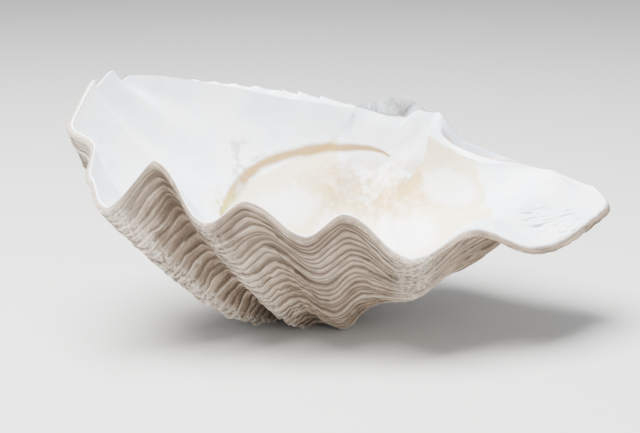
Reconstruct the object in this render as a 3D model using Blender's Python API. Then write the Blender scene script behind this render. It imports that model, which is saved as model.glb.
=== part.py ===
"""One valve of an elongate giant clam, lying open side up on its ribs.

The valve is shaped in its own frame, in millimetres: X runs along it from the pointed front end
(minus) to the narrow hind end (plus), Y from the frilled margin (minus) to the hinge (plus), and the
plane Z = 0 is the one in which it would meet its other half. The bowl hangs below that plane. Growth
lines are rows of constant age, from the beak (0) to the margin (1), and ribs run along the columns,
which fan out from the beak. The finished solid is then tipped into the way it lies, on the worn
crests of its middle ribs.
"""

import math

import bmesh
import bpy
import numpy as np
from mathutils import Matrix

MM = 0.001

# Outline, seen from above the open side. Directions are degrees from the hind end, round by the
# frilled margin, to the front end. Reach is from the hinge point to the margin.
HINGE_POINT = (40.0, 88.0)
REACH = ((27, 133), (31, 147), (37, 151), (44, 153), (60, 156), (75, 154), (90, 160), (105, 168),
         (118, 181), (129, 200), (139, 221), (147, 222), (153.5, 219), (159.5, 207), (164, 193),
         (168, 178))
HIND, FRONT = REACH[0][0], REACH[-1][0]
FRONT_EDGE_BOW = 17.0
HIND_EDGE_BOW = 3.0

# Height of the margin over the meeting plane, before the folds.
MARGIN_HEIGHT = ((27, 3), (37, 0), (60, -1), (75, 0), (90, -2), (105, -6), (120, -8), (135, -8),
                 (145, -2), (151, 2), (157, 8), (160, 12), (164, 12), (168, 7.5))

# Folds at the margin: direction, and how far it stands out (a rib) or in (a furrow between ribs).
FOLDS = ((27, 0), (40, 0), (61, 6), (75, -3.5), (88.5, 12), (102, -10), (108.5, 5.5), (119.3, -8.5),
         (124.5, 9.5), (134, -19.5), (137, 17.5), (141, 9), (145.3, -3), (153, 6), (156.5, -1),
         (159.5, -4), (161.5, 6), (164, -3), (166.5, 5), (168, 0))
FOLD_LEAN = ((27, 2), (60, 1.3), (90, 1.2), (145, 1.15), (153, 1.7), (159, 3), (168, 4))
FOLD_FADE = 2.5
RIB_SWEEP = ((27, 0), (45, 3), (62, 9), (80, 20), (100, 36), (115, 48), (125, 50), (135, 43), (150, 25),
             (160, 11), (168, 0))
SWEEP_EASE = 0.45

# The bowl.
DEPTH = ((27, 82), (75, 87), (86, 91), (95, 114), (104, 123), (112, 124), (118, 125), (130, 129),
         (140, 115), (150, 100), (168, 98))
BOWL_END = ((27, 0.80), (55, 0.82), (75, 0.96), (90, 1.0), (168, 1.0))
WALL = ((27, 1.5), (55, 1.2), (68, 0.95), (80, 0.8), (100, 0.8), (168, 0.75))
EDGE_DROP_HIND = 3.0
EDGE_DROP_FRONT = 2.0

# The beak, the curled tip where growth began, and how far it runs along the hind edge.
BEAK_BACK = 22.0
BEAK_UP = 11.0
BEAK_FALL = (0.25, 0.38)

# Shell thickness.
THICK_MARGIN = 4.5
THICK_BELLY = 12.0
THICK_HINGE = 11.0
THICK_FRONT = 5.0
THICK_FLANGE = 6.0
EDGE_TAPER = 0.55

# Growth ledges on the outside.
LEDGES = 15
LEDGE_STEP = 2.2
LEDGE_CROWDING = 1.2
BEAK_SMOOTH = 0.15

# Hinge plate: the long groove that held the ligament, and the low tooth beside the beak.
GROOVE = 6.0
GROOVE_FROM = 0.27
GROOVE_LEAN = 0.06
GROOVE_FADE = (0.38, 0.6)
TOOTH = 4.0
CAVITY_FROM = 0.24
CAVITY_CENTRE = (10.0, 10.0, -15.0)
HOLLOW = 9.0
ACROSS = (0.0, 0.14, 0.26, 0.45, 0.62, 0.8, 1.0)

# How it lies: tipped down towards the frilled margin, and up at the front end.
TIP_FORWARD = 14.0
TIP_FRONT_UP = 11.0
WORN = 4.6

COLUMNS_HIND, COLUMNS_FRONT = 48, 42
COLUMN_SPLIT = 130.0
INNER_ROWS = 13


def through(table, x):
    """A smooth curve through a table of (place, value) pairs."""
    places, values = (np.array(column, float) for column in zip(*table))
    slopes = np.gradient(values, places)
    x = np.clip(x, places[0], places[-1])
    i = np.clip(np.searchsorted(places, x, side="right") - 1, 0, len(places) - 2)
    gap = places[i + 1] - places[i]
    f = (x - places[i]) / gap
    start = (1 + 2 * f) * (1 - f) ** 2 * values[i] + f * (1 - f) ** 2 * gap * slopes[i]
    end = f * f * (3 - 2 * f) * values[i + 1] + f * f * (f - 1) * gap * slopes[i + 1]
    return start + end


def waves(table, x):
    """Half a cosine wave between each two neighbouring crests and troughs of a table."""
    places, values = (np.array(column, float) for column in zip(*table))
    x = np.clip(x, places[0], places[-1])
    i = np.clip(np.searchsorted(places, x, side="right") - 1, 0, len(places) - 2)
    f = (x - places[i]) / (places[i + 1] - places[i])
    return values[i] + (values[i + 1] - values[i]) * (1 - np.cos(np.pi * f)) / 2


def along_rib(column, age):
    """Directions of ribs, each named by where it ends: they curve round from the hind end."""
    swept = (1 - age) * (1 - SWEEP_EASE * (1 - age))
    direction = column + 0 * age
    for step in range(30):
        direction = column - through(RIB_SWEEP, direction) * swept
    return direction


def ease(low, high, x):
    """0 below low, 1 above high, and a smooth step between them."""
    f = np.clip((x - low) / (high - low), 0, 1)
    return f * f * (3 - 2 * f)


def unit(vectors):
    return vectors / np.maximum(np.linalg.norm(vectors, axis=-1, keepdims=True), 1e-9)


def run_at(age):
    """Share of the way from the beak to the margin, seen from above, that growth had covered."""
    return 0.35 * age + 0.65 * (1 - np.cos(np.pi * age)) / 2


def margin_line(direction):
    """The margin seen from above, without folds."""
    angle = np.radians(direction)
    out = np.stack([np.cos(angle), -np.sin(angle)], -1)
    return np.array(HINGE_POINT) + out * through(REACH, direction)[..., None]


def crown(direction, age):
    """Height of the beak's hump, as a share of the most."""
    share = (direction - HIND) / (FRONT - HIND)
    arch = (1 - np.abs(2 * share - 1) ** 3) ** 0.6
    return arch ** 0.25 * np.sin(np.pi * np.clip(age / 0.26, 0, 1)) ** 0.8


def lobe(direction, age):
    """What the hind edge beside the beak adds to the hump."""
    share = (direction - HIND) / (FRONT - HIND)
    raised = ease(0.02, 0.14, age) * (1 - ease(*BEAK_FALL, age))
    return (1 - share) ** 3 * raised * (1 - crown(direction, age))


def bowl(direction, age):
    """The smooth valve without folds: points of the given directions and ages."""
    share = (direction - HIND) / (FRONT - HIND)
    run = run_at(age)
    angle = np.radians(direction)
    reach = through(REACH, direction)
    out = np.stack([np.cos(angle), -np.sin(angle)], -1)
    side = np.stack([np.sin(angle), np.cos(angle)], -1)
    bow = 4 * run * (1 - run)
    bend = HIND_EDGE_BOW * (1 - share) ** 6 - FRONT_EDGE_BOW * share ** 6
    plan = np.array(HINGE_POINT) + out * (run * reach)[..., None] + side * (bow * bend)[..., None]
    arch = (1 - np.abs(2 * share - 1) ** 3) ** 0.6
    end = np.minimum(through(BOWL_END, direction), 1)
    along = np.clip((run - 0.06) / (end - 0.06), 0, 1)
    rise = (1 - (1 - along) ** 3.4) ** 0.7
    fall = (1 - along ** 3.2) ** through(WALL, direction)
    depth = through(DEPTH, direction) * arch * rise * fall
    drop = (EDGE_DROP_HIND * (1 - share) ** 2 + EDGE_DROP_FRONT * share ** 2) * (1 - age) ** 0.5
    drop = drop * ease(0, 0.12, age)
    back = arch ** 0.4 * ease(0, 0.2, age) * (1 - ease(0.2, 0.6, age))
    height = through(MARGIN_HEIGHT, direction) * run ** 2 - depth - drop
    height = height + BEAK_UP * crown(direction, age)
    return np.stack([plan[..., 0], plan[..., 1] + BEAK_BACK * back, height], -1)


def outward(direction, age, lean):
    """Unit vectors out of the smooth valve: square to it, but at the margin out and down by lean."""
    age = np.clip(age, 0.01, 1)
    step_d, step_a = 0.05, 0.002
    before, after = np.clip(direction - step_d, HIND, FRONT), np.clip(direction + step_d, HIND, FRONT)
    younger, older = np.clip(age - step_a, 0.004, 1), np.clip(age + step_a, 0.004, 1)
    around = bowl(after, age) - bowl(before, age)
    along = bowl(direction, older) - bowl(direction, younger)
    rim = margin_line(np.minimum(direction + 3, FRONT)) - margin_line(np.maximum(direction - 3, HIND))
    rim = unit(np.stack([-rim[..., 1], rim[..., 0]], -1))
    margin = unit(np.concatenate([rim, -lean[..., None]], -1))
    near_margin = ease(0.5, 0.95, age)[..., None]
    return unit(unit(np.cross(along, around)) * (1 - near_margin) + margin * near_margin)


def outer_skin(column, age, relief):
    fold = waves(FOLDS, column) * age ** FOLD_FADE
    direction = along_rib(column, age)
    relief = relief * ease(HIND, HIND + 5, direction)
    points = bowl(direction, age)
    points[..., 2] += BEAK_UP * lobe(direction, age)
    return (points + outward(direction, age, through(FOLD_LEAN, direction)) * fold[..., None]
            + outward(direction, age, np.ones_like(direction)) * relief[..., None])


def thickness(direction, age):
    share = (direction - HIND) / (FRONT - HIND)
    body = THICK_MARGIN + (THICK_BELLY - THICK_MARGIN) * (1 - ease(0.55, 1.0, age))
    body = body + (THICK_HINGE - THICK_BELLY) * (1 - ease(0.2, 0.5, age))
    flange = THICK_MARGIN + (THICK_FLANGE - THICK_MARGIN) * (1 - ease(0.9, 1.0, age))
    hind = (1 - ease(0.1, 0.3, share)) * ease(0.6, 0.85, age)
    front = ease(0.75, 1.0, share)
    body = body + (flange - body) * hind
    body = body * (1 - EDGE_TAPER * (1 - ease(0, 0.05, share)) * ease(0.5, 0.75, age))
    return body + (THICK_FRONT - body) * front * (1 - ease(0.7, 1.0, age))


def inner_skin(column, age):
    fold = waves(FOLDS, column) * ease(0.45, 1.0, age) ** 1.3
    direction = along_rib(column, age)
    base = bowl(direction, age) + outward(direction, age, through(FOLD_LEAN, direction)) * fold[..., None]
    near_beak = (1 - ease(0.25, 0.65, age))[..., None]
    into_cavity = unit(np.array(CAVITY_CENTRE) - base)
    square_in = -outward(direction, age, np.ones_like(direction))
    inward = unit(into_cavity * near_beak + square_in * (1 - near_beak))
    return base + inward * thickness(direction, age)[..., None]


def column_directions():
    hind = np.linspace(HIND, COLUMN_SPLIT, COLUMNS_HIND, endpoint=False)
    return np.concatenate([hind, np.linspace(COLUMN_SPLIT, FRONT, COLUMNS_FRONT)])


def ledge_rows():
    """Ages of the outer rows, and how far each stands out: the foot and the lip of each ledge."""
    ages = list(np.linspace(0, BEAK_SMOOTH, 5))
    reliefs = [0.0] * len(ages)
    for k in range(1, LEDGES + 1):
        lip = BEAK_SMOOTH + (1 - BEAK_SMOOTH) * (1 - (1 - k / LEDGES) ** LEDGE_CROWDING)
        ages += [ages[-1] + 0.012, lip]
        reliefs += [0.0, LEDGE_STEP * float(ease(0.02, 0.3, lip))]
    return np.array(ages), np.array(reliefs)


def add_grid(bm, points):
    """A sheet of quads through a grid of points, given as rows of columns."""
    rows, columns = points.shape[:2]
    made = bmesh.ops.create_grid(bm, x_segments=columns - 1, y_segments=rows - 1, size=1)
    for vert, place in zip(made["verts"], points.reshape(-1, 3)):
        vert.co = place * MM
    return [made["verts"][i * columns:(i + 1) * columns] for i in range(rows)]


def zip_up(bm, left, left_at, right, right_at):
    """Triangles between two lines of vertices, stepping along whichever lags behind."""
    i = j = 0
    while i < len(left) - 1 or j < len(right) - 1:
        if j == len(right) - 1 or (i < len(left) - 1 and left_at[i + 1] <= right_at[j + 1]):
            corners = (left[i], left[i + 1], right[j])
            i += 1
        else:
            corners = (left[i], right[j + 1], right[j])
            j += 1
        bm.faces.new(corners)


def hinge_relief(along, across):
    """Height added to the hinge plate: along is the age, negative on the front edge."""
    past_tooth = along - GROOVE_FROM - GROOVE_LEAN * across
    groove = ease(-0.02, 0.02, past_tooth) * (1 - ease(*GROOVE_FADE, along))
    trough = ease(0.06, 0.2, across) * (1 - ease(0.5, 0.62, across))
    tooth = ease(0.0, 0.1, along) * (1 - ease(-0.03, 0.02, past_tooth))
    crest = ease(0, 0.12, across) * (1 - ease(0.3, 1.0, across))
    return TOOTH * tooth * crest - GROOVE * groove * trough


def hollow_depth(along, across):
    """How far the wall under the hinge plate is sunk, away from the middle of the bowl."""
    under = ease(0.15, 0.5, across) * (1 - ease(0.65, 1.0, across))
    return HOLLOW * under * (1 - ease(0.4, 0.9, np.abs(along) / CAVITY_FROM))


def valve_mesh():
    directions = column_directions()
    ages, reliefs = ledge_rows()
    inner_ages = CAVITY_FROM + (1 - CAVITY_FROM) * np.linspace(0, 1, INNER_ROWS) ** 0.9
    outer = outer_skin(*np.meshgrid(directions, ages), np.repeat(reliefs[:, None], len(directions), 1))
    inner = inner_skin(*np.meshgrid(directions, inner_ages))

    up = Matrix.Rotation(math.radians(TIP_FRONT_UP), 3, "Y")
    up = up @ Matrix.Rotation(math.radians(TIP_FORWARD), 3, "X")
    upward = np.array(up)[2]
    heights = outer @ upward
    floor = heights.min() + WORN
    outer = outer + np.maximum(floor - heights, 0)[..., None] * upward

    bm = bmesh.new()
    outer_rows = add_grid(bm, outer)
    inner_rows = add_grid(bm, inner)
    for k in range(len(directions) - 1):
        a, b = outer_rows[-1], inner_rows[-1]
        bm.faces.new((a[k], a[k + 1], b[k + 1], b[k]))

    rim_out = np.concatenate([outer[::-1, -1], outer[1:, 0]])
    rim_out_at = np.concatenate([-ages[::-1], ages[1:]])
    line = [row[-1] for row in outer_rows[::-1]]
    line += [row[0] for row in outer_rows[1:]]
    rim_in = np.concatenate([inner[::-1, -1], inner[0, ::-1][1:-1], inner[:, 0]])
    under_beak = along_rib(directions, np.full(len(directions), CAVITY_FROM))
    turn = np.interp(under_beak, directions, np.linspace(CAVITY_FROM, -CAVITY_FROM, len(directions)))
    turn = turn[::-1][1:-1]
    rim_in_at = np.concatenate([-inner_ages[::-1], turn, inner_ages])
    inner_line = [row[-1] for row in inner_rows[::-1]]
    inner_line += inner_rows[0][::-1][1:-1]
    inner_line += [row[0] for row in inner_rows]
    opposite = np.stack([np.interp(rim_out_at, rim_in_at, rim_in[:, axis]) for axis in range(3)], -1)
    for across in ACROSS[1:-1]:
        places = rim_out + (opposite - rim_out) * across
        away = unit(places - np.array(CAVITY_CENTRE))
        places += away * hollow_depth(rim_out_at, across)[:, None]
        places[:, 2] += hinge_relief(rim_out_at, across)
        strip = [bm.verts.new(place * MM) for place in places[1:-1]]
        strip = [line[0]] + strip + [line[-1]]
        for k in range(len(line) - 1):
            corners = (line[k], line[k + 1], strip[k + 1], strip[k])
            bm.faces.new(list(dict.fromkeys(corners)))
        line = strip
    zip_up(bm, line, rim_out_at, inner_line, rim_in_at)

    bmesh.ops.remove_doubles(bm, verts=bm.verts, dist=0.00001)
    bmesh.ops.recalc_face_normals(bm, faces=bm.faces)
    mesh = bpy.data.meshes.new("clam_valve")
    bm.to_mesh(mesh)
    bm.free()
    mesh.shade_smooth()
    return mesh, up


def shell_material():
    material = bpy.data.materials.new("worn shell")
    material.use_nodes = True
    shader = material.node_tree.nodes["Principled BSDF"]
    shader.inputs["Base Color"].default_value = (0.72, 0.68, 0.61, 1.0)
    shader.inputs["Roughness"].default_value = 0.6
    shader.inputs["Metallic"].default_value = 0.0
    return material


def main():
    for thing in list(bpy.data.objects):
        bpy.data.objects.remove(thing)
    mesh, up = valve_mesh()
    mesh.materials.append(shell_material())
    valve = bpy.data.objects.new("clam_valve", mesh)
    bpy.context.scene.collection.objects.link(valve)
    places = np.array([up @ vert.co for vert in mesh.vertices])
    low, high = places.min(0), places.max(0)
    valve.rotation_euler = up.to_euler()
    valve.location = (-(low[0] + high[0]) / 2, -(low[1] + high[1]) / 2, -low[2])


main()
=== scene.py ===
import math

import bpy
import numpy as np
from mathutils import Matrix, Vector, noise


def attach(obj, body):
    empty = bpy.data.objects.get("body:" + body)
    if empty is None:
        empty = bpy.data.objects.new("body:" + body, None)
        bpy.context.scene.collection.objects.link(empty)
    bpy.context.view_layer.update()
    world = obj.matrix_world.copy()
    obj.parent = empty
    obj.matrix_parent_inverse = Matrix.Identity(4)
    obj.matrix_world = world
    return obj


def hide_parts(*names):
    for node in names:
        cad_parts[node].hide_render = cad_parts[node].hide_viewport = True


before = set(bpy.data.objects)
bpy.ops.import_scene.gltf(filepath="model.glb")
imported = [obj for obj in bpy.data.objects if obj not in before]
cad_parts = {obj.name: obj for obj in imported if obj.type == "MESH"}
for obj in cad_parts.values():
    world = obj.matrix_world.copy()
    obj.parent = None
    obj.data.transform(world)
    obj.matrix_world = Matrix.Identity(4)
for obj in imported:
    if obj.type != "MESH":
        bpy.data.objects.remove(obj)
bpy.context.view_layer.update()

# The valve as it grew: one body of shell, which the animal laid down at its edge.
# Each growth line is an earlier margin, and the ribs fan out from the beak and curve round from the
# hind end, so the whole valve is one surface, drawn by direction and age.

# Directions are degrees round the hinge point, from the narrow hind end to the pointed front end, and
# age runs from the beak (0) to the margin (1). Sizes are millimetres in the valve's own frame, which
# has the plane where it met its other half at Z = 0.
MM = 0.001
HINGE_POINT = (40.0, 88.0)
REACH = ((27, 133), (31, 147), (37, 151), (44, 153), (60, 156), (75, 154), (90, 160), (105, 168),
         (118, 181), (129, 200), (139, 221), (147, 222), (153.5, 219), (159.5, 207), (164, 193),
         (168, 178))
HIND, FRONT = 27.0, 168.0
FRONT_EDGE_BOW = 17.0
HIND_EDGE_BOW = 3.0
MARGIN_HEIGHT = ((27, 3), (37, 0), (60, -1), (75, 0), (90, -2), (105, -6), (120, -8), (135, -8),
                 (145, -2), (151, 2), (157, 8), (160, 12), (164, 12), (168, 7.5))
FOLDS = ((27, 0), (40, 0), (61, 6), (75, -3.5), (88.5, 12), (102, -10), (108.5, 5.5), (119.3, -8.5),
         (124.5, 9.5), (134, -19.5), (137, 17.5), (141, 9), (145.3, -3), (153, 6), (156.5, -1),
         (159.5, -4), (161.5, 6), (164, -3), (166.5, 5), (168, 0))
FOLD_LEAN = ((27, 2), (60, 1.3), (90, 1.2), (145, 1.15), (153, 1.7), (159, 3), (168, 4))
FOLD_FADE = 2.5
RIB_SWEEP = ((27, 0), (45, 3), (62, 9), (80, 20), (100, 36), (115, 48), (125, 50), (135, 43), (150, 25),
             (160, 11), (168, 0))
SWEEP_EASE = 0.45
DEPTH = ((27, 82), (75, 87), (86, 91), (95, 114), (104, 123), (112, 124), (118, 125), (130, 129),
         (140, 115), (150, 100), (168, 98))
BOWL_END = ((27, 0.80), (55, 0.82), (75, 0.96), (90, 1.0), (168, 1.0))
WALL = ((27, 1.5), (55, 1.2), (68, 0.95), (80, 0.8), (100, 0.8), (168, 0.75))
EDGE_DROP_HIND, EDGE_DROP_FRONT = 3.0, 2.0
BEAK_BACK, BEAK_UP = 22.0, 11.0
BEAK_FALL = (0.25, 0.38)
TIP_FORWARD, TIP_FRONT_UP = 14.0, 11.0
LIES_AT = np.array((-3.37, -13.72, 103.68))

TIPPED = np.array(Matrix.Rotation(math.radians(TIP_FRONT_UP), 3, "Y")
                  @ Matrix.Rotation(math.radians(TIP_FORWARD), 3, "X"))


def through(table, x):
    """A smooth curve through a table of (place, value) pairs."""
    places, values = (np.array(column, float) for column in zip(*table))
    slopes = np.gradient(values, places)
    x = np.clip(x, places[0], places[-1])
    i = np.clip(np.searchsorted(places, x, side="right") - 1, 0, len(places) - 2)
    gap = places[i + 1] - places[i]
    f = (x - places[i]) / gap
    start = (1 + 2 * f) * (1 - f) ** 2 * values[i] + f * (1 - f) ** 2 * gap * slopes[i]
    end = f * f * (3 - 2 * f) * values[i + 1] + f * f * (f - 1) * gap * slopes[i + 1]
    return start + end


def waves(table, x):
    """Half a cosine wave between each two neighbouring crests and troughs of a table."""
    places, values = (np.array(column, float) for column in zip(*table))
    x = np.clip(x, places[0], places[-1])
    i = np.clip(np.searchsorted(places, x, side="right") - 1, 0, len(places) - 2)
    f = (x - places[i]) / (places[i + 1] - places[i])
    return values[i] + (values[i + 1] - values[i]) * (1 - np.cos(np.pi * f)) / 2


def along_rib(column, age):
    """Directions of ribs, each named by where it ends: they curve round from the hind end."""
    swept = (1 - age) * (1 - SWEEP_EASE * (1 - age))
    direction = column + 0 * age
    for step in range(30):
        direction = column - through(RIB_SWEEP, direction) * swept
    return direction


def ease(low, high, x):
    """0 below low, 1 above high, and a smooth step between them."""
    f = np.clip((x - low) / (high - low), 0, 1)
    return f * f * (3 - 2 * f)


def unit(vectors):
    return vectors / np.maximum(np.linalg.norm(vectors, axis=-1, keepdims=True), 1e-9)


def margin_line(direction):
    """The margin seen from above, without folds."""
    angle = np.radians(direction)
    out = np.stack([np.cos(angle), -np.sin(angle)], -1)
    return np.array(HINGE_POINT) + out * through(REACH, direction)[..., None]


def crown(direction, age):
    """Height of the beak's hump, as a share of the most."""
    share = (direction - HIND) / (FRONT - HIND)
    arch = (1 - np.abs(2 * share - 1) ** 3) ** 0.6
    return arch ** 0.25 * np.sin(np.pi * np.clip(age / 0.26, 0, 1)) ** 0.8


def bowl(direction, age):
    """The smooth valve without folds."""
    share = (direction - HIND) / (FRONT - HIND)
    run = 0.35 * age + 0.65 * (1 - np.cos(np.pi * age)) / 2
    angle = np.radians(direction)
    out = np.stack([np.cos(angle), -np.sin(angle)], -1)
    side = np.stack([np.sin(angle), np.cos(angle)], -1)
    bend = HIND_EDGE_BOW * (1 - share) ** 6 - FRONT_EDGE_BOW * share ** 6
    plan = (np.array(HINGE_POINT) + out * (run * through(REACH, direction))[..., None]
            + side * (4 * run * (1 - run) * bend)[..., None])
    arch = (1 - np.abs(2 * share - 1) ** 3) ** 0.6
    end = np.minimum(through(BOWL_END, direction), 1)
    along = np.clip((run - 0.06) / (end - 0.06), 0, 1)
    rise = (1 - (1 - along) ** 3.4) ** 0.7
    fall = (1 - along ** 3.2) ** through(WALL, direction)
    depth = through(DEPTH, direction) * arch * rise * fall
    drop = (EDGE_DROP_HIND * (1 - share) ** 2 + EDGE_DROP_FRONT * share ** 2) * (1 - age) ** 0.5
    drop = drop * ease(0, 0.12, age)
    back = arch ** 0.4 * ease(0, 0.2, age) * (1 - ease(0.2, 0.6, age))
    height = through(MARGIN_HEIGHT, direction) * run ** 2 - depth - drop
    height = height + BEAK_UP * crown(direction, age)
    return np.stack([plan[..., 0], plan[..., 1] + BEAK_BACK * back, height], -1)


def outward(direction, age, lean):
    """Unit vectors out of the smooth valve: square to it, but at the margin out and down by lean."""
    age = np.clip(age, 0.01, 1)
    before, after = np.clip(direction - 0.05, HIND, FRONT), np.clip(direction + 0.05, HIND, FRONT)
    around = bowl(after, age) - bowl(before, age)
    older, younger = np.clip(age + 0.002, 0.004, 1), np.clip(age - 0.002, 0.004, 1)
    along = bowl(direction, older) - bowl(direction, younger)
    edge_way = margin_line(np.minimum(direction + 3, FRONT)) - margin_line(np.maximum(direction - 3, HIND))
    edge_way = unit(np.stack([-edge_way[..., 1], edge_way[..., 0]], -1))
    margin = unit(np.concatenate([edge_way, -lean[..., None]], -1))
    near_margin = ease(0.5, 0.95, age)[..., None]
    return unit(unit(np.cross(along, around)) * (1 - near_margin) + margin * near_margin)


def lie_down(points):
    """Turns points of the valve's own frame into the way it lies on the surface, in metres."""
    return (points @ TIPPED.T + LIES_AT) * MM


# The outside: shelves of chalky shell, each of which ended a spell of growth and stood out from the
# one before. Now and then a heavy one came. Wear has chipped them, most low at the front, and the
# crests that the valve lies on are rubbed flat. Along the front edge only the heavy ones show.
SCALES = 45
HEAVY_AT = (0, 3, 5, 9, 12, 14, 18, 21, 23, 27, 30, 33, 36, 38, 42, 45)
HEAVY_STEP, SCALE_STEP = 1.2, 0.6
FLAKE = 1.0
SCALE_CROWDING = 1.2
BEAK_SMOOTH = 0.15
COLUMNS = 330
EVEN_SHARE = 0.65
RIM_SAMPLES = 3000
TALLEST_FOLD = 12
SOFT_UNTIL = 0.42
NO_DIRECTION = -100


def mottled(places, seed):
    """Perlin noise, from -1 to 1, at an array of places that are scaled to its grain."""
    flat = places.reshape(-1, 2)
    return np.array([noise.noise((a, b, seed)) for a, b in flat]).reshape(places.shape[:-1])


def lobe(direction, age):
    """What the hind edge beside the beak adds to the hump."""
    share = (direction - HIND) / (FRONT - HIND)
    raised = ease(0.02, 0.14, age) * (1 - ease(*BEAK_FALL, age))
    return (1 - share) ** 3 * raised * (1 - crown(direction, age))


def outside(column, age, relief):
    fold = waves(FOLDS, column) * age ** FOLD_FADE
    direction = along_rib(column, age)
    relief = relief * ease(HIND, HIND + 5, direction)
    points = bowl(direction, age)
    points[..., 2] += BEAK_UP * lobe(direction, age)
    return (points + outward(direction, age, through(FOLD_LEAN, direction)) * fold[..., None]
            + outward(direction, age, np.ones_like(direction)) * relief[..., None])


closely = np.linspace(HIND, FRONT, RIM_SAMPLES)
rim = outside(closely, np.ones_like(closely), np.zeros_like(closely))
rim_run = np.concatenate([[0], np.cumsum(np.linalg.norm(np.diff(rim, axis=0), axis=1))])
evenly = np.interp(np.linspace(0, rim_run[-1], COLUMNS), rim_run, closely)
directions = EVEN_SHARE * evenly + (1 - EVEN_SHARE) * np.linspace(HIND, FRONT, COLUMNS)
along_rim = np.interp(directions, closely, rim_run)

# where each scale ends, and how far it stands out: waves of 42, 13, 55, 34 and 8 mm along the rim
steps = np.arange(SCALES + 1)
lips = BEAK_SMOOTH + (1 - BEAK_SMOOTH) * (1 - (1 - steps / SCALES) ** SCALE_CROWDING)
spot = np.stack(np.broadcast_arrays(along_rim[None, :], steps[:, None].astype(float)), -1)
front_edge = ease(156, 164, directions)
wander = 0.5 * mottled(spot * (1 / 42, 0.31), 3.3) + 0.35 * mottled(spot * (1 / 13, 0.47), 8.1)
wander = (wander + 0.5 * mottled(spot * (0, 0.83), 2.2)) * (1 - 0.8 * front_edge)
wander[0], wander[-1] = 0, 0
gaps = np.gradient(lips)[:, None]
lips = np.maximum.accumulate(lips[:, None] + np.clip(wander, -0.42, 0.42) * gaps)
rib = waves(FOLDS, directions) / TALLEST_FOLD
stand = 0.9 + 0.35 * np.clip(rib, -1, 1) + 1.1 * mottled(spot * (1 / 34, 0.6), 1.7)
stand = stand + 0.6 * mottled(spot * (1 / 8, 0.9), 5.2) + 0.6 * mottled(spot * (0, 0.77), 7.7)
rough = ease(106, 122, directions) * ease(4, 12, steps)[:, None] * (1 - ease(36, 44, steps))[:, None]
stand = np.clip(stand, 0.05, 2.2) * (1 + 0.6 * rough) * (1 - 0.9 * front_edge)
heavy = np.clip(1.0 + 0.7 * mottled(spot * (1 / 55, 0.2), 9.4), 0.3, 1.6) * (1 + 0.5 * front_edge)

PHASES, RISES = (0.05, 0.42, 0.82, 1.0), (0.0, 0.3, 0.72, 1.0)
ages = [np.full(COLUMNS, a) for a in np.linspace(0, BEAK_SMOOTH, 9)]
reliefs = [np.zeros(COLUMNS) for a in ages]
edges = [np.full(COLUMNS, 0.5) for a in ages]
for k in range(1, SCALES + 1):
    for phase, rise in zip(PHASES, RISES):
        age = lips[k - 1] + (lips[k] - lips[k - 1]) * phase
        since = max(at for at in HEAVY_AT if at < k)
        until = min(at for at in HEAVY_AT if at >= k)
        climb = (k - 1 + phase - since) / (until - since)
        step = SCALE_STEP * stand[k] * rise + HEAVY_STEP * heavy[k] * climb
        flakes = FLAKE * (0.5 + rough[k]) * mottled(np.stack([along_rim / 5, age * 40], -1), 4.4)
        ages.append(age)
        reliefs.append((step + flakes * (1 - front_edge)) * ease(0.14, 0.4, age))
        edges.append(rise * np.clip(0.3 + 0.5 * stand[k] + (0.25 if k in HEAVY_AT else 0), 0, 1))
ages, reliefs, edges = np.array(ages), np.array(reliefs), np.array(edges)
columns = np.broadcast_to(directions, ages.shape)
outer = outside(columns, ages, reliefs)

# the crests that touch the surface, worn to its level
heights = outer @ TIPPED[2]
outer = outer + np.maximum(-LIES_AT[2] - heights, 0)[..., None] * TIPPED[2]


def sheet(name, points, growth, edge, inside, turn):
    """One sheet of the shell: a grid, drawn over its points, that remembers how it grew."""
    rows, columns = points.shape[:2]
    bpy.ops.object.select_all(action="DESELECT")
    bpy.ops.mesh.primitive_grid_add(x_subdivisions=columns - 1, y_subdivisions=rows - 1, size=1)
    made = bpy.context.object
    made.name = name
    made.data.vertices.foreach_set("co", lie_down(points).astype(np.float32).ravel())
    inside = np.broadcast_to(inside, (rows, columns))
    turn = np.broadcast_to(turn, (rows, columns))
    remember(made, growth.reshape(-1, 3), edge.ravel(), inside.ravel(), turn.ravel())
    return made


def keep(piece, **marks):
    """Keeps one value at each point of a piece for each mark."""
    for name, values in marks.items():
        mark = piece.data.attributes.new(name, "FLOAT", "POINT")
        mark.data.foreach_set("value", np.asarray(values, np.float32).ravel())


def remember(piece, growth, edge, inside, turn):
    """Keeps, at each point, the way along a growth line, the age and the rib's height, and the rest."""
    grown_at = piece.data.attributes.new("growth", "FLOAT_VECTOR", "POINT")
    grown_at.data.foreach_set("vector", growth.astype(np.float32).ravel())
    soft = (np.abs(growth[:, 1]) < SOFT_UNTIL) & (inside > 0.4) & ((inside > 0.9) | (growth[:, 2] > 0.7))
    keep(piece, scale_edge=edge, inside=inside, turn=turn / 100, soft=soft)


ribs = waves(FOLDS, columns) / TALLEST_FOLD
ways = np.broadcast_to(along_rim, ages.shape)
outer_growth = np.stack([ways * MM, ages, ribs], -1)
outer_sheet = sheet("outside", outer, outer_growth, edges, 0.0, along_rib(columns, ages))

# The inside: a smooth, dense layer of shell, laid down by the animal's mantle. It thickens the valve
# as it ages and is thinnest at the margin. It starts under the hinge plate and ends in a rounded lip.
THICK_MARGIN, THICK_BELLY, THICK_HINGE = 2.6, 12.0, 11.0
THICK_FRONT, THICK_FLANGE = 5.0, 6.0
THICK_HIND_LIP = 2.2
EDGE_TAPER = 0.55
CAVITY_FROM = 0.24
CAVITY_CENTRE = (10.0, 10.0, -15.0)
INNER_ROWS = 58
LIP_BULGE = 0.8
LIP_AT = (0.22, 0.5, 0.78)
LIP_INSIDE = (0.0, 0.0, 0.06, 0.25, 1.0)
LIP_AGING, LIP_EDGE = 0.008, 0.6


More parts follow.
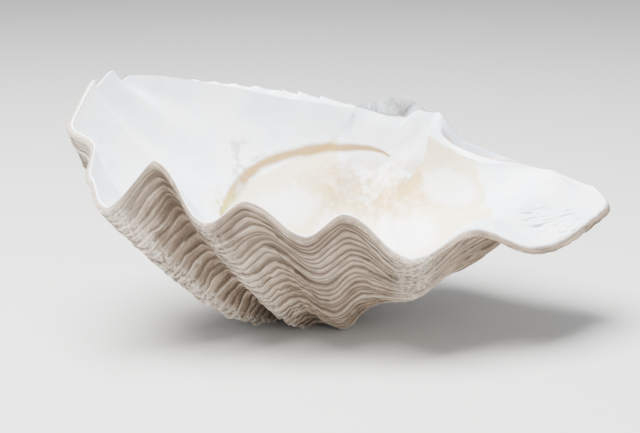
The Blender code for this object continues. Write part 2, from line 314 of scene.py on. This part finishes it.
def thickness(direction, age):
    share = (direction - HIND) / (FRONT - HIND)
    margin = THICK_MARGIN + THICK_HIND_LIP * (1 - ease(0.25, 0.45, share))
    body = margin + (THICK_BELLY - margin) * (1 - ease(0.55, 1.0, age))
    body = body + (THICK_HINGE - THICK_BELLY) * (1 - ease(0.2, 0.5, age))
    flange = margin + (THICK_FLANGE - margin) * (1 - ease(0.9, 1.0, age))
    hind = (1 - ease(0.1, 0.3, share)) * ease(0.6, 0.85, age)
    front = ease(0.75, 1.0, share)
    body = body + (flange - body) * hind
    body = body * (1 - EDGE_TAPER * (1 - ease(0, 0.05, share)) * ease(0.5, 0.75, age))
    return body + (THICK_FRONT - body) * front * (1 - ease(0.7, 1.0, age))


inner_ages = CAVITY_FROM + (1 - CAVITY_FROM) * np.linspace(0, 1, INNER_ROWS) ** 0.9
inner_fans, inner_age = np.meshgrid(directions, inner_ages)
inner_ribs = waves(FOLDS, inner_fans)
fold = inner_ribs * ease(0.45, 1.0, inner_age) ** 1.3
inner_fans = along_rib(inner_fans, inner_age)
base = bowl(inner_fans, inner_age)
base = base + outward(inner_fans, inner_age, through(FOLD_LEAN, inner_fans)) * fold[..., None]
near_beak = (1 - ease(0.25, 0.65, inner_age))[..., None]
inward = -outward(inner_fans, inner_age, np.ones_like(inner_fans))
inward = unit(unit(np.array(CAVITY_CENTRE) - base) * near_beak + inward * (1 - near_beak))
inner = base + inward * thickness(inner_fans, inner_age)[..., None]

growing = unit(outer[-1] - outer[-5])
lip = [outer[-1]]
for part_way in LIP_AT:
    bulge = growing * LIP_BULGE * math.sin(math.pi * part_way) ** 0.7
    lip.append(outer[-1] + (inner[-1] - outer[-1]) * part_way + bulge)
lip = np.array(lip + [inner[-1]])

inner_ways = np.broadcast_to(along_rim, inner_age.shape)
inner_growth = np.stack([inner_ways * MM, inner_age, inner_ribs / TALLEST_FOLD], -1)
inner_sheet = sheet("inside", inner, inner_growth, np.ones_like(inner_age), 1.0, inner_fans)
lip_growth = inner_growth[-1] + np.array((0, LIP_AGING, 0)) * np.arange(len(lip))[:, None, None]
lip_edge = np.full(lip.shape[:2], LIP_EDGE)
lip_sheet = sheet("lip", lip, lip_growth, lip_edge, np.array(LIP_INSIDE)[:, None], directions)

# The hinge plate and the front edge: thick, dense shell that joins the outside to the inside.
# Behind the beak a long groove held the ligament, and beside it stands the tooth that locked the two
# valves. The front edge is crossed by low ridges, where the clam held on to the reef.
GROOVE, GROOVE_FROM, GROOVE_LEAN = 6.0, 0.27, 0.06
GROOVE_FADE = (0.38, 0.6)
TOOTH = 4.0
HOLLOW = 9.0
RIDGE, RIDGE_SPACING = 1.1, 0.06
ACROSS = np.concatenate([[0.0, 0.03], np.linspace(0.09, 0.91, 12), [0.97]])


def hinge_relief(along, across):
    past_tooth = along - GROOVE_FROM - GROOVE_LEAN * across
    groove = ease(-0.02, 0.02, past_tooth) * (1 - ease(*GROOVE_FADE, along))
    trough = ease(0.06, 0.2, across) * (1 - ease(0.5, 0.62, across))
    tooth = ease(0.0, 0.1, along) * (1 - ease(-0.03, 0.02, past_tooth))
    crest = ease(0, 0.12, across) * (1 - ease(0.3, 1.0, across))
    ridges = RIDGE * np.sin(along / RIDGE_SPACING * 2 * np.pi) * (1 - ease(-0.5, -0.3, along))
    return TOOTH * tooth * crest - GROOVE * groove * trough + ridges * crest


def hollow_depth(along, across):
    """How far the wall under the hinge plate is sunk, away from the middle of the bowl."""
    under = ease(0.15, 0.5, across) * (1 - ease(0.65, 1.0, across))
    return HOLLOW * under * (1 - ease(0.4, 0.9, np.abs(along) / CAVITY_FROM))


rim_out = np.concatenate([outer[::-1, -1], outer[1:, 0]])
rim_out_at = np.concatenate([-ages[::-1, -1], ages[1:, 0]])
rim_in = np.concatenate([inner[::-1, -1], inner[0, ::-1][1:-1], inner[:, 0]])
under_beak = np.interp(inner_fans[0], directions, np.linspace(CAVITY_FROM, -CAVITY_FROM, COLUMNS))
rim_in_at = np.concatenate([-inner_ages[::-1], under_beak[::-1][1:-1], inner_ages])
opposite = np.stack([np.interp(rim_out_at, rim_in_at, rim_in[:, axis]) for axis in range(3)], -1)
plate = rim_out + (opposite - rim_out) * ACROSS[:, None, None]
sunk = hollow_depth(rim_out_at[None, :], ACROSS[:, None])
plate = plate + unit(plate - np.array(CAVITY_CENTRE)) * sunk[..., None]
plate[..., 2] += hinge_relief(rim_out_at[None, :], ACROSS[:, None])
plate[:, 0], plate[:, -1] = outer[-1, -1], outer[-1, 0]
plate_growth = np.stack([np.broadcast_to(rim_out_at * 0.2, plate.shape[:2]),
                         np.broadcast_to(np.abs(rim_out_at), plate.shape[:2]),
                         np.broadcast_to(ACROSS[:, None], plate.shape[:2])], -1)
plate_inside = 0.5 * ease(0.0, 0.05, ACROSS)[:, None]
plate_sheet = sheet("hinge", plate, plate_growth, np.ones(plate.shape[:2]), plate_inside, NO_DIRECTION)
hind_of_tooth = ease(-0.02, 0.03, rim_out_at[None, :] - GROOVE_FROM - GROOVE_LEAN * ACROSS[:, None])
in_groove = hind_of_tooth * ease(0.08, 0.2, ACROSS)[:, None] * (1 - ease(0.5, 0.66, ACROSS))[:, None]
in_groove = in_groove * (1 - ease(0.5, 0.75, rim_out_at))
on_bevel = hind_of_tooth * (1 - ease(0.08, 0.2, ACROSS))[:, None]
keep(plate_sheet, in_groove=in_groove, on_bevel=on_bevel)


def zipped(left_at, right_at):
    """Triangles between two rows of points, stepping along whichever lags behind."""
    i = j = 0
    made = []
    while i < len(left_at) - 1 or j < len(right_at) - 1:
        if j == len(right_at) - 1 or (i < len(left_at) - 1 and left_at[i + 1] <= right_at[j + 1]):
            made.append((i, i + 1, len(left_at) + j))
            i += 1
        else:
            made.append((i, len(left_at) + j + 1, len(left_at) + j))
            j += 1
    return made


seam = np.concatenate([plate[-1], rim_in])
seam_mesh = bpy.data.meshes.new("seam")
seam_mesh.from_pydata(lie_down(seam).tolist(), [], zipped(rim_out_at, rim_in_at))
seam_sheet = bpy.data.objects.new("seam", seam_mesh)
bpy.context.scene.collection.objects.link(seam_sheet)
seam_age = np.abs(np.concatenate([rim_out_at, rim_in_at]))
seam_growth = np.stack([np.zeros(len(seam)), seam_age, np.ones(len(seam))], -1)
remember(seam_sheet, seam_growth, np.ones(len(seam)), np.full(len(seam), 0.6),
         np.full(len(seam), NO_DIRECTION))

end_mesh = bpy.data.meshes.new("lip_ends")
ends = np.concatenate([lip[:, 0], lip[:, -1]])
end_faces = [tuple(range(n * len(lip), (n + 1) * len(lip))) for n in (0, 1)]
end_mesh.from_pydata(lie_down(ends).tolist(), [], end_faces)
end_sheet = bpy.data.objects.new("lip_ends", end_mesh)
bpy.context.scene.collection.objects.link(end_sheet)
end_growth = np.concatenate([lip_growth[:, 0], lip_growth[:, -1]])
remember(end_sheet, end_growth, np.ones(len(end_growth)), np.ones(len(end_growth)),
         np.full(len(end_growth), NO_DIRECTION))

# the sheets joined into one closed valve, with the creases of the plate and its seam relaxed
MERGE_WITHIN = 0.01 * MM
RELAX_SHARE, RELAX_TIMES = 0.5, 25
SHARP_ANGLE = math.radians(55)

bpy.ops.object.select_all(action="DESELECT")
for made in (inner_sheet, lip_sheet, plate_sheet, seam_sheet, end_sheet, outer_sheet):
    made.select_set(True)
bpy.context.view_layer.objects.active = outer_sheet
bpy.ops.object.join()
valve = outer_sheet
valve.name = "giant_clam_valve"
bpy.ops.object.mode_set(mode="EDIT")
bpy.ops.mesh.select_all(action="SELECT")
bpy.ops.mesh.remove_doubles(threshold=MERGE_WITHIN)
bpy.ops.mesh.normals_make_consistent(inside=False)
bpy.ops.mesh.select_all(action="DESELECT")
bpy.ops.object.mode_set(mode="OBJECT")
soft = np.empty(len(valve.data.vertices), np.float32)
valve.data.attributes["soft"].data.foreach_get("value", soft)
valve.data.vertices.foreach_set("select", soft > 0.5)
bpy.ops.object.mode_set(mode="EDIT")
bpy.ops.mesh.vertices_smooth(factor=RELAX_SHARE, repeat=RELAX_TIMES)
bpy.ops.object.mode_set(mode="OBJECT")
bpy.ops.object.shade_smooth_by_angle(angle=SHARP_ANGLE)

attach(valve, "root")
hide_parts("clam_valve")


def linear(code):
    """A colour from its sRGB hex value."""
    parts = [int(code[i:i + 2], 16) / 255 for i in (1, 3, 5)]
    return [c / 12.92 if c <= 0.04045 else ((c + 0.055) / 1.055) ** 2.4 for c in parts] + [1.0]


def put(tree, kind, inputs, **settings):
    """Adds a node with its settings, and links or fills its inputs."""
    made = tree.nodes.new(kind)
    for name, value in settings.items():
        setattr(made, name, value)
    for name, value in inputs.items():
        if isinstance(value, bpy.types.NodeSocket):
            tree.links.new(value, made.inputs[name])
        else:
            made.inputs[name].default_value = value
    return made


# The shell itself: aragonite, laid down by the animal and left to weather.
# Outside it is a dull taupe, its scale edges pale with wear and painted highlight, with painted shade under
# them.
# Inside it is dense and white like porcelain, with cream and ochre marks where the animal was fixed.

# Marks are millimetres in the way the valve lies. The line of the mantle is given by places along
# it: how far along the valve, how high, and how many times narrower it has worn. The chalky patches
# have a middle and a reach each, and the edge of the cavity is an age for each direction.
PALLIAL_LINE = ((-79, 56, 2), (-74, 68, 1), (-68, 75, 1), (-61, 82.5, 1), (-52, 87.5, 1), (-38, 91, 1),
                (-24, 93, 1), (-8, 94.5, 1.1), (6, 94.5, 1.4), (19, 93, 1.8), (27, 91, 2.6),
                (33, 87, 4.5))
PALLIAL_BEHIND, PAST_ITS_ENDS, FAR_OFF = 6, 20, 50
CHALKY = ((-35, 50, 60, 25, 20, 13), (40, 40, 46, 24, 24, 11), (72, 52, 75, 20, 25, 11))
SCAR, SCAR_REACH = (24, 60, 72), (50, 26, 22)
CAVITY_EDGE = ((27, 0.46), (41, 0.56), (50, 0.62), (58, 0.66), (66, 0.68), (75, 0.66), (100, 0.58),
               (140, 0.5), (151, 0.49), (155, 0.43), (158, 0.3), (160, 0.2), (168, 0.05))
STAIN, STAIN_REACH = (-76, 32, 68), 16
PITTED, PITTED_REACH = (-66, 54, 92), (26, 14, 16)
SCRATCHED, SCRATCHED_REACH = (122, -34, 75), (30, 22, 14)
AGE_LENGTH, OUT_OF_CAVITY = 150, 20
SHELL_IOR = 1.53

spots = np.empty(len(valve.data.vertices) * 3, np.float32)
valve.data.vertices.foreach_get("co", spots)
spots = spots.reshape(-1, 3) / MM
from_line = np.full(len(spots), 1e3)
line_at = np.array(PALLIAL_LINE, float)
for a, b in zip(line_at[:-1], line_at[1:]):
    leg = b[:2] - a[:2]
    share = np.clip((spots[:, ::2] - a[:2]) @ leg / (leg @ leg), 0, 1)
    off = np.linalg.norm(spots[:, ::2] - a[:2] - share[:, None] * leg, axis=1)
    from_line = np.minimum(from_line, off * (a[2] + share * (b[2] - a[2])))
from_line *= np.where(spots[:, 2] > np.interp(spots[:, 0], line_at[:, 0], line_at[:, 1]), 1, -1)
from_line[spots[:, 1] < PALLIAL_BEHIND] = FAR_OFF
from_line[(spots[:, 0] < line_at[0, 0]) | (spots[:, 0] > line_at[-1, 0])] *= PAST_ITS_ENDS
from_chalk = np.full(len(spots), 1e3)
for patch in np.array(CHALKY, float):
    from_chalk = np.minimum(from_chalk, np.linalg.norm((spots - patch[:3]) / patch[3:], axis=1))
from_scar = np.linalg.norm((spots - SCAR) / SCAR_REACH, axis=1)
from_stain = np.linalg.norm(spots - STAIN, axis=1) / STAIN_REACH
from_pits = np.linalg.norm((spots - PITTED) / PITTED_REACH, axis=1)
from_scratches = np.linalg.norm((spots - SCRATCHED) / SCRATCHED_REACH, axis=1)
turned = np.empty(len(spots), np.float32)
valve.data.attributes["turn"].data.foreach_get("value", turned)
grown = np.empty(len(spots) * 3, np.float32)
valve.data.attributes["growth"].data.foreach_get("vector", grown)
past_cavity = (grown[1::3] - through(CAVITY_EDGE, turned * 100)) * AGE_LENGTH
past_cavity[turned < 0] = OUT_OF_CAVITY
keep(valve, from_line=from_line * MM, from_chalk=from_chalk, from_scar=from_scar, from_stain=from_stain,
     from_pits=from_pits, from_scratches=from_scratches, past_cavity=past_cavity * MM)

shell = bpy.data.materials.new("weathered aragonite shell")
shell.use_nodes = True
tree = shell.node_tree
surface = tree.nodes["Principled BSDF"]
surface.inputs["IOR"].default_value = SHELL_IOR
growth = put(tree, "ShaderNodeAttribute", {}, attribute_name="growth").outputs["Vector"]
way = put(tree, "ShaderNodeSeparateXYZ", {0: growth})
age, rib = way.outputs[1], way.outputs[2]
place = put(tree, "ShaderNodeTexCoord", {}).outputs["Object"]
kept = {}
for name in ("scale_edge", "inside", "turn", "from_line", "from_chalk", "from_scar", "from_stain",
             "from_pits", "from_scratches", "past_cavity", "in_groove", "on_bevel"):
    kept[name] = put(tree, "ShaderNodeAttribute", {}, attribute_name=name).outputs["Fac"]

# Growth lines 2 mm apart and 20 mm long, bands 5 mm apart, scratches 1.1 mm wide, and broad tints,
# patches, flecks and grain, of which the number is how many fit in a metre. The finest real growth
# lines and the real grain are too fine to show from here, so both are drawn coarser.
lined = put(tree, "ShaderNodeMapping", {"Vector": growth, "Scale": (50, 120, 0)}).outputs[0]
banded = put(tree, "ShaderNodeMapping", {"Vector": growth, "Scale": (16, 46, 0)}).outputs[0]
scored = put(tree, "ShaderNodeMapping", {"Vector": place, "Rotation": (0, 0, math.radians(32)),
                                         "Scale": (0.013, 0.0011, 0.004)},
             vector_type="TEXTURE").outputs[0]
noises = {}
for name, vector, number, detail, rough_share in (
        ("lines", lined, 1.0, 4.0, 0.6), ("bands", banded, 1.0, 3.0, 0.5), ("scores", scored, 1.0, 1.0, 0.4),
        ("broad", place, 11.0, 3.0, 0.5), ("patches", place, 28.0, 5.0, 0.6),
        ("flecks", place, 95.0, 4.0, 0.65), ("grain", place, 420.0, 4.0, 0.7)):
    noises[name] = put(tree, "ShaderNodeTexNoise", {"Vector": vector, "Scale": number, "Detail": detail,
                                                    "Roughness": rough_share}).outputs[0]
lines, bands, patches, grain = noises["lines"], noises["bands"], noises["patches"], noises["grain"]
broad, flecks = noises["broad"], noises["flecks"]
edge, inside, turn = kept["scale_edge"], kept["inside"], kept["turn"]

# where a mark is worn or blotched: its name, a value, where that starts and ends, and the most
limits = {}
for name, value, low, high, most in (
        ("worn patches and painted highlight", patches, 0.3, 0.55, 0.85), ("gritty", grain, 0.42, 0.6, 0.6),
        ("near margin", age, 0.9, 0.97, 0.5), ("banded", bands, 0.35, 0.6, 0.6),
        ("underneath", age, 0.85, 0.55, 0.8), ("blotched", flecks, 0.35, 0.6, 0.8),
        ("line blotches", patches, 0.15, 0.45, 0.92), ("pitted", kept["from_pits"], 1.0, 0.6, 0.55),
        ("scratched", kept["from_scratches"], 1.0, 0.5, 0.75)):
    limits[name] = put(tree, "ShaderNodeMapRange", {"Value": value, "From Min": low, "From Max": high,
                                                    "To Max": most},
                       interpolation_type="SMOOTHSTEP").outputs[0]

# the colours of the outside, each over the last: a value, where it starts and ends, the most, and hex
outside_layers = (
    (patches, 0.35, 0.65, 1.0, "#AD9A85"),
    (flecks, 0.52, 0.64, 0.35, "#675B51"),
    (broad, 0.5, 0.7, limits["underneath"], "#856D54"),
    (bands, 0.55, 0.72, 0.6, "#C2B29C"),
    (bands, 0.44, 0.3, 0.65, "#6F5F4F"),
    (lines, 0.47, 0.34, 0.8, "#5A4A3D"),
    # painted shade: the recess at the foot of each scale, under the lip of the one before, is darkened
    (edge, 0.45, 0.05, 0.75, "#45382D"),
    # the lips of the scales are lightened: partly wear, in patches, and partly painted highlight
    (edge, 0.72, 1.0, limits["worn patches and painted highlight"], "#D8CCBB"),
    (rib, 0.35, 1.1, limits["gritty"], "#E0D7CA"),
    (turn, 1.33, 1.42, limits["near margin"], "#DCD0BF"),
    (turn, 0.78, 0.5, limits["banded"], "#56483A"),
    (age, 0.42, 0.2, limits["worn patches and painted highlight"], "#A9B0B6"),
)
outside_colour = linear("#877463")
for value, low, high, most, code in outside_layers:
    share = put(tree, "ShaderNodeMapRange", {"Value": value, "From Min": low, "From Max": high,
                                             "To Max": most}, interpolation_type="SMOOTHSTEP").outputs[0]
    outside_colour = put(tree, "ShaderNodeMix", {0: share, 6: outside_colour, 7: linear(code)},
                         data_type="RGBA").outputs[2]

from_middle = put(tree, "ShaderNodeMath", {0: kept["from_line"]}, operation="ABSOLUTE").outputs[0]
line_way = put(tree, "ShaderNodeMath", {0: patches, 1: 0.006, 2: from_middle},
               operation="MULTIPLY_ADD").outputs[0]
chalk_way = put(tree, "ShaderNodeMath", {0: patches, 1: 1.8, 2: kept["from_chalk"]},
                operation="MULTIPLY_ADD").outputs[0]
scar_way = put(tree, "ShaderNodeMath", {0: flecks, 1: 0.9, 2: kept["from_scar"]},
               operation="MULTIPLY_ADD").outputs[0]
stain_way = put(tree, "ShaderNodeMath", {0: flecks, 1: 1.0, 2: kept["from_stain"]},
                operation="MULTIPLY_ADD").outputs[0]
cavity_way = put(tree, "ShaderNodeMath", {0: flecks, 1: 0.008, 2: kept["past_cavity"]},
                 operation="MULTIPLY_ADD").outputs[0]
# the colours of the inside in the same way: cream cavity and muscle scar, white patches, the ochre
# line, a greenish stain, pits, scratches, and the groove and bevel of the hinge plate
inside_layers = (
    (patches, 0.35, 0.6, 1.0, "#FBFDFF"),
    (cavity_way, 0.0065, 0.0035, 0.85, "#E5D5AF"),
    (scar_way, 1.75, 1.05, limits["blotched"], "#BC9640"),
    (patches, 0.56, 0.64, 0.75, "#FBFBFA"),
    (flecks, 0.58, 0.7, 0.4, "#FBFBFA"),
    (chalk_way, 2.0, 1.5, 0.8, "#F3F6F8"),
    (line_way, 0.0085, 0.0045, limits["line blotches"], "#967012"),
    (stain_way, 1.5, 0.8, limits["blotched"], "#B9B65F"),
    (flecks, 0.53, 0.58, limits["pitted"], "#97938A"),
    (noises["scores"], 0.58, 0.63, limits["scratched"], "#55647F"),
    (kept["in_groove"], 0.1, 0.9, 0.8, "#AD928E"),
    (kept["on_bevel"], 0.1, 0.9, 0.7, "#97A5B8"),
)
inside_colour = linear("#E2ECF8")
for value, low, high, most, code in inside_layers:
    share = put(tree, "ShaderNodeMapRange", {"Value": value, "From Min": low, "From Max": high,
                                             "To Max": most}, interpolation_type="SMOOTHSTEP").outputs[0]
    inside_colour = put(tree, "ShaderNodeMix", {0: share, 6: inside_colour, 7: linear(code)},
                        data_type="RGBA").outputs[2]
within = put(tree, "ShaderNodeMapRange", {"Value": inside, "From Min": 0.1, "From Max": 0.45},
             interpolation_type="SMOOTHSTEP").outputs[0]
colour = put(tree, "ShaderNodeMix", {0: within, 6: outside_colour, 7: inside_colour},
             data_type="RGBA").outputs[2]
tree.links.new(colour, surface.inputs["Base Color"])

# The outside is dull and rough to the touch, and the inside half polished, with worn patches. The
# bumps are the growth lines, then chips and pits, then grain.
polish = put(tree, "ShaderNodeMapRange", {"Value": patches, "From Min": 0.3, "From Max": 0.7,
                                          "To Min": 0.4, "To Max": 0.62}).outputs[0]
roughness = put(tree, "ShaderNodeMix", {0: within, 2: 0.86, 3: polish}).outputs[0]
tree.links.new(roughness, surface.inputs["Roughness"])
fine = put(tree, "ShaderNodeMix", {0: within, 2: 0.9, 3: 0.12}).outputs[0]
first = put(tree, "ShaderNodeBump", {"Height": lines, "Distance": 0.0022, "Strength": fine})
coarse = put(tree, "ShaderNodeMix", {0: within, 2: 0.85, 3: 0.35}).outputs[0]
second = put(tree, "ShaderNodeBump", {"Height": flecks, "Distance": 0.0016, "Strength": coarse,
                                      "Normal": first.outputs[0]})
third = put(tree, "ShaderNodeBump", {"Height": grain, "Distance": 0.0006, "Strength": coarse,
                                     "Normal": second.outputs[0]})
tree.links.new(third.outputs[0], surface.inputs["Normal"])
valve.data.materials.clear()
valve.data.materials.append(shell)

# The pale floor, the soft daylight and the camera. The floor is a plain matt sheet under the valve, and
# the light comes from a large lamp above and a weak one low in front. The camera looks down by 15
# degrees, from 850 mm away, on a view 384 mm wide.
FLOOR_SIZE = 12
LIT_AT = Vector((0, 0, 0.06))
LOOKS_AT = Vector((-0.0142, -0.0137, 0.0716))
LOOKS_DOWN = math.radians(15)
VIEW_FROM, VIEW_WIDTH = 0.85, 0.384
SENSOR = 36

bpy.ops.mesh.primitive_plane_add(size=FLOOR_SIZE)
floor = bpy.context.object
floor.name = "floor"
paint = bpy.data.materials.new("matt pale floor")
paint.use_nodes = True
paint.node_tree.nodes["Principled BSDF"].inputs["Base Color"].default_value = linear("#C6C5C2")
paint.node_tree.nodes["Principled BSDF"].inputs["Roughness"].default_value = 0.9
floor.data.materials.append(paint)

sky = bpy.data.worlds.new("overcast sky")
sky.use_nodes = True
sky.node_tree.nodes["Background"].inputs["Color"].default_value = linear("#E8EEF6")
sky.node_tree.nodes["Background"].inputs["Strength"].default_value = 0.7
bpy.context.scene.world = sky
for name, place_at, size, power in (("soft light above", (-0.3, -0.2, 1.3), 0.9, 116.0),
                                    ("low fill", (0.7, -1.2, 0.6), 0.9, 10.0)):
    lamp = bpy.data.lights.new(name, "AREA")
    lamp.size, lamp.energy = size, power
    hung = bpy.data.objects.new(name, lamp)
    hung.location = place_at
    hung.rotation_euler = (LIT_AT - Vector(place_at)).to_track_quat("-Z", "Y").to_euler()
    bpy.context.scene.collection.objects.link(hung)

eye = bpy.data.cameras.new("camera")
eye.sensor_width = SENSOR
eye.lens = SENSOR * VIEW_FROM / VIEW_WIDTH
camera = bpy.data.objects.new("camera", eye)
back = Vector((0, -math.cos(LOOKS_DOWN), math.sin(LOOKS_DOWN)))
camera.location = LOOKS_AT + back * VIEW_FROM
camera.rotation_euler = (-back).to_track_quat("-Z", "Y").to_euler()
bpy.context.scene.collection.objects.link(camera)
bpy.context.scene.camera = camera
